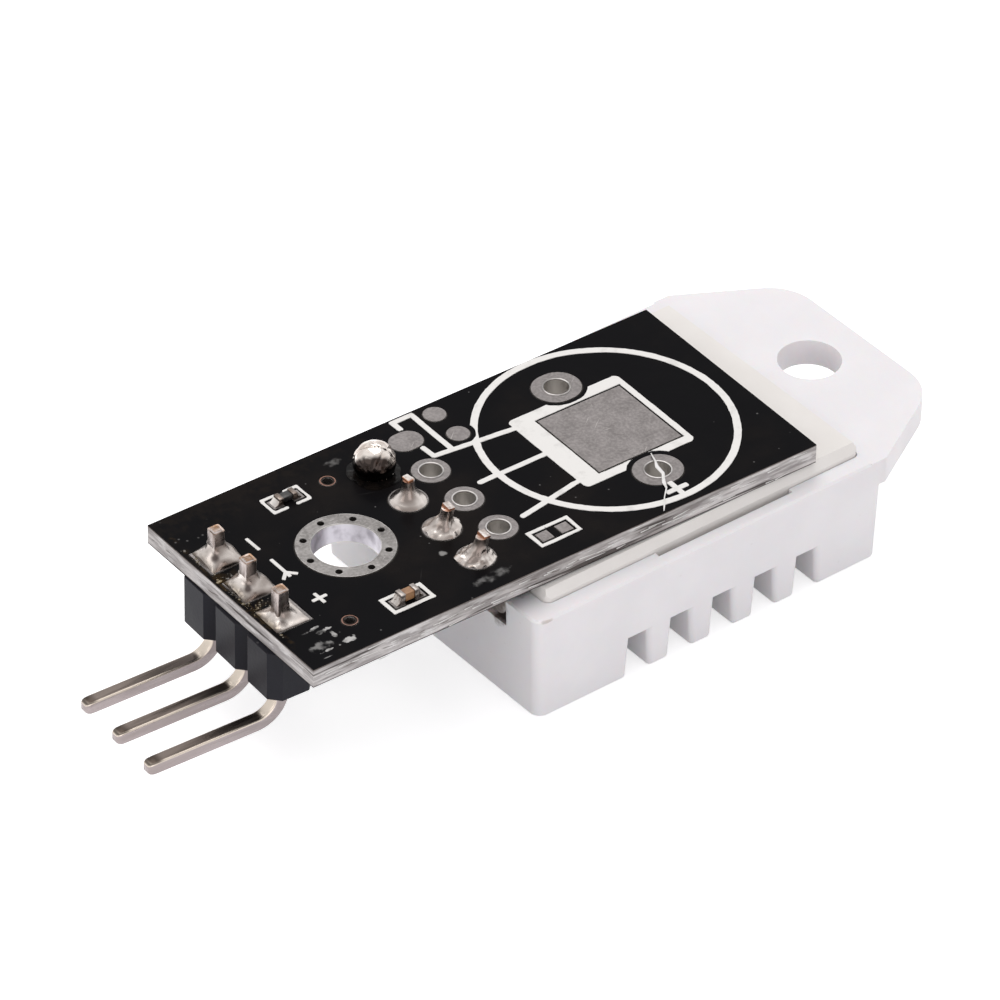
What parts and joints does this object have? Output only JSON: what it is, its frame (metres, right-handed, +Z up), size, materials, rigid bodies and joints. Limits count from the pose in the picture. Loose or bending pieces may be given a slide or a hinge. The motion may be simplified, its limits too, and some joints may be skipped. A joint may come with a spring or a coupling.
{
  "type": "temperature and humidity sensor module",
  "caption": "Small circuit board carrying a white moulded humidity and temperature sensor with a slotted grille and an eared case, and an angled pin header.",
  "frame": {"origin": "on the axis of the circuit board's mounting hole, at the board's underside", "axes": "+X along the board towards the sensor's ear, +Y across the board, +Z up out of the solder side"},
  "size_m": [0.0423, 0.0161, 0.009],
  "materials": {
    "board_laminate": "cut glass fibre laminate",
    "mask_top": "glossy black solder mask",
    "mask_bottom": "glossy black solder mask",
    "mount_ring": "dull tinned copper",
    "plated_rings": "dull tinned copper",
    "tinned_lands": "dull tinned copper",
    "silkscreen": "matt white ink",
    "header_housing": "satin black moulding",
    "sensor_housing": "satin white moulding",
    "sensor_lid": "satin cream moulding",
    "sensor_board": "green circuit board",
    "humidity_element": "coated ceramic plate",
    "temperature_element": "glass coated bead",
    "controller_chip": "moulded chip",
    "resistor_body": "glazed ceramic",
    "resistor_ends": "tinned ends",
    "resistor_solder": "solder",
    "capacitor_body": "tan ceramic",
    "capacitor_ends": "tinned ends",
    "capacitor_solder": "solder",
    "header_pin_1": "dull nickel plated wire",
    "header_solder_1": "solder with amber flux",
    "header_pin_2": "dull nickel plated wire",
    "header_solder_2": "solder with amber flux",
    "header_pin_3": "dull nickel plated wire",
    "header_solder_3": "solder with amber flux",
    "sensor_pin_1": "tinned pin with a cut copper end",
    "sensor_solder_1": "bright solder",
    "sensor_pin_2": "tinned pin with a cut copper end",
    "sensor_solder_2": "bright solder",
    "sensor_pin_3": "tinned pin with a cut copper end",
    "sensor_solder_3": "bright solder",
    "sensor_pin_4": "tinned pin with a cut copper end",
    "sensor_solder_4": "bright solder"
  },
  "bodies": {
    "root": {"board_laminate": "board_laminate", "mask_top": "mask_top", "mask_bottom": "mask_bottom", "mount_ring": "mount_ring", "plated_rings": "plated_rings", "tinned_lands": "tinned_lands", "silkscreen": "silkscreen", "header_housing": "header_housing", "sensor_housing": "sensor_housing", "sensor_lid": "sensor_lid", "sensor_board": "sensor_board", "humidity_element": "humidity_element", "temperature_element": "temperature_element", "controller_chip": "controller_chip", "resistor_body": "resistor_body", "resistor_ends": "resistor_ends", "resistor_solder": "resistor_solder", "capacitor_body": "capacitor_body", "capacitor_ends": "capacitor_ends", "capacitor_solder": "capacitor_solder", "header_pin_1": "header_pin_1", "header_solder_1": "header_solder_1", "header_pin_2": "header_pin_2", "header_solder_2": "header_solder_2", "header_pin_3": "header_pin_3", "header_solder_3": "header_solder_3", "sensor_pin_1": "sensor_pin_1", "sensor_solder_1": "sensor_solder_1", "sensor_pin_2": "sensor_pin_2", "sensor_solder_2": "sensor_solder_2", "sensor_pin_3": "sensor_pin_3", "sensor_solder_3": "sensor_solder_3", "sensor_pin_4": "sensor_pin_4", "sensor_solder_4": "sensor_solder_4"}
  },
  "joints": []
}
